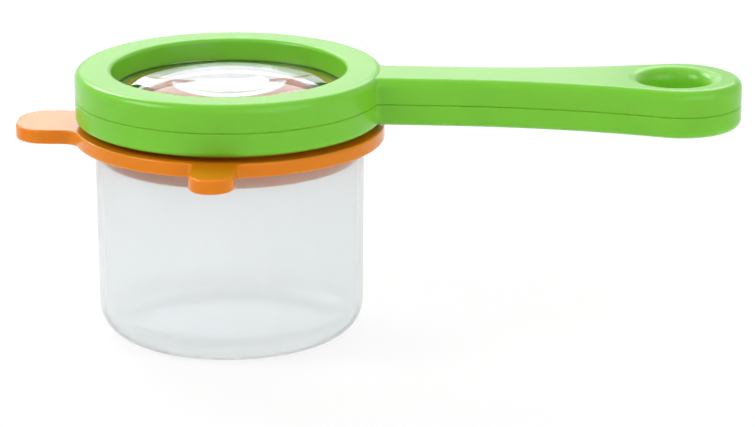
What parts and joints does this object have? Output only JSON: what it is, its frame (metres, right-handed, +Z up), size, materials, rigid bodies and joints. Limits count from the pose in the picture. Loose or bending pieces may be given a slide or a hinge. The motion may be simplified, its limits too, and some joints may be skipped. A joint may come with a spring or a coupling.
{
  "type": "bug catcher jar",
  "caption": "Translucent insect cup closed by a tabbed push-in lid, under a round hand magnifier whose flared handle ends in a hanging hole.",
  "frame": {"origin": "middle of the flat face that the cup stands on", "axes": "+Z up along the axis of cup, lid and lens; +X along the magnifier's handle, away from the lid's pull tab"},
  "size_m": [0.2118, 0.1246, 0.0796],
  "materials": {
    "cup_milky": "milky translucent, smooth",
    "lid_orange": "moulded, satin",
    "housing_green": "moulded, satin",
    "lens_clear": "clear, polished"
  },
  "bodies": {
    "jar": {"jar": "cup_milky"},
    "lid": {"lid_ring": "lid_orange"},
    "magnifier": {"lower_shell": "housing_green", "upper_shell": "housing_green", "lens": "lens_clear"}
  },
  "joints": [
    {"name": "lid_lift", "type": "slide", "parent": "jar", "child": "lid", "axis": [0, 0, 1], "range_m": [0, 0.04]},
    {"name": "magnifier_lift", "type": "slide", "parent": "lid", "child": "magnifier", "axis": [0, 0, 1], "range_m": [0, 0.05]}
  ]
}
